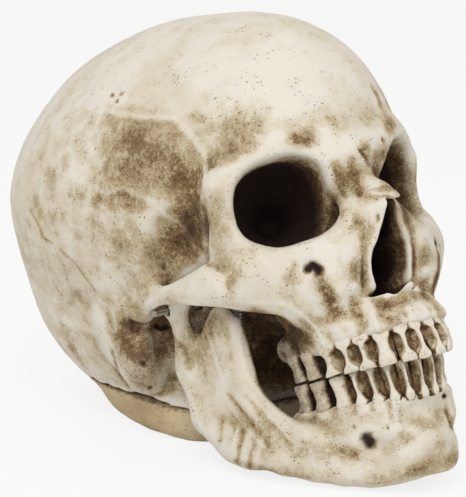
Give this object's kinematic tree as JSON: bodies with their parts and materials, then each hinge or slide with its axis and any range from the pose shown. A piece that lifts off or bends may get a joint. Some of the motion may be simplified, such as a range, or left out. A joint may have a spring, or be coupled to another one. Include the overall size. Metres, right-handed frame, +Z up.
{
  "type": "anatomical skull model",
  "caption": "Life-size anatomical skull model: hollow cast cranium on a closing base panel, sprung lower jaw on hinge pins, and full upper and lower rows of separate teeth.",
  "frame": {"origin": "centre of the box's bottom, on the table plane that the base panel and the jaw rest on", "axes": "+X towards the skull's left, +Y towards the back of the head, +Z up; the face looks along -Y and up"},
  "size_m": [0.15, 0.2399, 0.1711],
  "materials": {
    "cranium_cast": "matt cast resin, stained like aged bone",
    "base_cast": "matt cast resin, tan",
    "mandible_cast": "matt cast resin, stained like aged bone",
    "upper_enamel": "satin cast resin with brown wash",
    "lower_enamel": "satin cast resin with brown wash",
    "pin_steel": "drawn steel",
    "spring_steel": "drawn spring wire",
    "screw_steel": "turned steel"
  },
  "bodies": {
    "skull": {"cranium": "cranium_cast", "skull_base": "base_cast", "upper_right_central_incisor": "upper_enamel", "upper_right_lateral_incisor": "upper_enamel", "upper_right_canine": "upper_enamel", "upper_right_first_premolar": "upper_enamel", "upper_right_second_premolar": "upper_enamel", "upper_right_first_molar": "upper_enamel", "upper_right_second_molar": "upper_enamel", "upper_right_third_molar": "upper_enamel", "upper_left_central_incisor": "upper_enamel", "upper_left_lateral_incisor": "upper_enamel", "upper_left_canine": "upper_enamel", "upper_left_first_premolar": "upper_enamel", "upper_left_second_premolar": "upper_enamel", "upper_left_first_molar": "upper_enamel", "upper_left_second_molar": "upper_enamel", "upper_left_third_molar": "upper_enamel", "right_jaw_pin": "pin_steel", "left_jaw_pin": "pin_steel", "right_jaw_spring": "spring_steel", "left_jaw_spring": "spring_steel", "right_upper_spring_screw": "screw_steel", "left_upper_spring_screw": "screw_steel"},
    "jaw": {"mandible": "mandible_cast", "lower_right_central_incisor": "lower_enamel", "lower_right_lateral_incisor": "lower_enamel", "lower_right_canine": "lower_enamel", "lower_right_first_premolar": "lower_enamel", "lower_right_second_premolar": "lower_enamel", "lower_right_first_molar": "lower_enamel", "lower_right_second_molar": "lower_enamel", "lower_right_third_molar": "lower_enamel", "lower_left_central_incisor": "lower_enamel", "lower_left_lateral_incisor": "lower_enamel", "lower_left_canine": "lower_enamel", "lower_left_first_premolar": "lower_enamel", "lower_left_second_premolar": "lower_enamel", "lower_left_first_molar": "lower_enamel", "lower_left_second_molar": "lower_enamel", "lower_left_third_molar": "lower_enamel", "right_lower_spring_screw": "screw_steel", "left_lower_spring_screw": "screw_steel"}
  },
  "joints": [
    {"name": "jaw_hinge", "type": "hinge", "parent": "skull", "child": "jaw", "pos_m": [0, -0.01231, 0.05945], "axis": [1, 0, 0], "range_deg": [0, 20], "stiffness_Nm_per_rad": 0.15, "springref_deg": -57.3, "deforming": ["right_jaw_spring", "left_jaw_spring"]}
  ]
}
